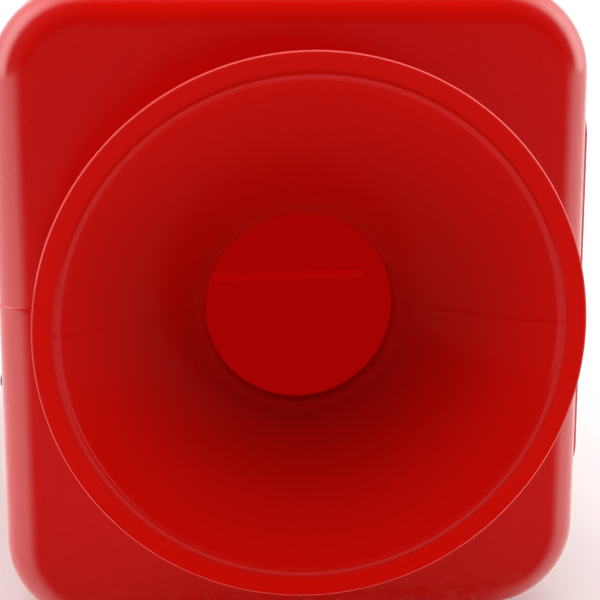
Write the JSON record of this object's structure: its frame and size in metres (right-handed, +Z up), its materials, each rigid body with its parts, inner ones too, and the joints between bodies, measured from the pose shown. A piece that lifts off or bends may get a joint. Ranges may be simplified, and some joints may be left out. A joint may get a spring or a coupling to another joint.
{
  "type": "water filled barrier",
  "caption": "Hollow red moulded road barrier block for water ballast, with a wide coupling horn and socket at one end, a spigot at the other, fork tunnels and a screwed fill cap.",
  "frame": {"origin": "on the ground, under the middle of the tank, at the middle skid's underside", "axes": "+Y from the horn end to the spigot end, +X across towards the side panel, +Z up"},
  "size_m": [0.491, 1.156, 0.573],
  "materials": {
    "tank_plastic": "glossy moulded polyethylene, light scuffs",
    "horn_plastic": "glossy moulded polyethylene, smooth",
    "spigot_plastic": "glossy moulded polyethylene, rubbed",
    "panel_plastic": "glossy sheet",
    "fitting_plastic": "fine moulded grain",
    "black_rubber": "matt, dusty",
    "plated_steel": "zinc plated",
    "brass": "turned",
    "reflective_sheet": "honeycomb retroreflective sheet"
  },
  "bodies": {
    "barrier": {"tank_upper_shell": "tank_plastic", "tank_lower_shell": "tank_plastic", "fork_tunnel_front": "tank_plastic", "fork_tunnel_rear": "tank_plastic", "horn_upper_half": "horn_plastic", "horn_lower_half": "horn_plastic", "socket_cup": "horn_plastic", "rear_spigot": "spigot_plastic", "spigot_clamp_ring": "spigot_plastic", "side_panel": "panel_plastic", "fill_neck": "fitting_plastic", "drain_bush": "fitting_plastic", "lamp_socket": "fitting_plastic", "pin_guide_sleeve": "fitting_plastic", "pin_stowage_sleeve": "fitting_plastic", "front_skid": "black_rubber", "middle_skid": "black_rubber", "rear_skid": "black_rubber", "spigot_buffer_ring": "black_rubber", "front_handle_brackets": "plated_steel", "rear_handle_brackets": "plated_steel", "handle_screws": "plated_steel", "fill_neck_screws": "plated_steel", "skid_screws": "plated_steel", "spigot_bolts": "plated_steel", "panel_rivets": "plated_steel", "spigot_inserts": "brass", "reflective_strips": "reflective_sheet"},
    "fill_lid": {"fill_lid": "fitting_plastic", "fill_lid_gasket": "black_rubber"},
    "fill_ring": {"fill_lid_ring": "fitting_plastic"},
    "drain": {"drain_plug": "fitting_plastic", "drain_gasket": "black_rubber"},
    "pin": {"coupling_pin": "plated_steel", "coupling_pin_grips": "black_rubber"},
    "front_bail": {"front_handle": "plated_steel", "front_handle_grip": "black_rubber"},
    "rear_bail": {"rear_handle": "plated_steel", "rear_handle_grip": "black_rubber"}
  },
  "joints": [
    {"name": "fill_lid_lift", "type": "slide", "parent": "barrier", "child": "fill_lid", "axis": [0, 0, 1], "range_m": [0, 0.06]},
    {"name": "fill_ring_turn", "type": "hinge", "parent": "fill_lid", "child": "fill_ring", "pos_m": [0, -0.072, 0.553], "axis": [0, 0, 1], "continuous": true},
    {"name": "drain_plug_pull", "type": "slide", "parent": "barrier", "child": "drain", "axis": [-1, 0, 0], "range_m": [0, 0.06]},
    {"name": "coupling_pin_lift", "type": "slide", "parent": "barrier", "child": "pin", "axis": [0, 0, 1], "range_m": [0, 0.34]},
    {"name": "front_handle_fold", "type": "hinge", "parent": "barrier", "child": "front_bail", "pos_m": [0, -0.311, 0.54], "axis": [1, 0, 0], "range_deg": [0, 105]},
    {"name": "rear_handle_fold", "type": "hinge", "parent": "barrier", "child": "rear_bail", "pos_m": [0, 0.311, 0.54], "axis": [-1, 0, 0], "range_deg": [0, 105]}
  ]
}
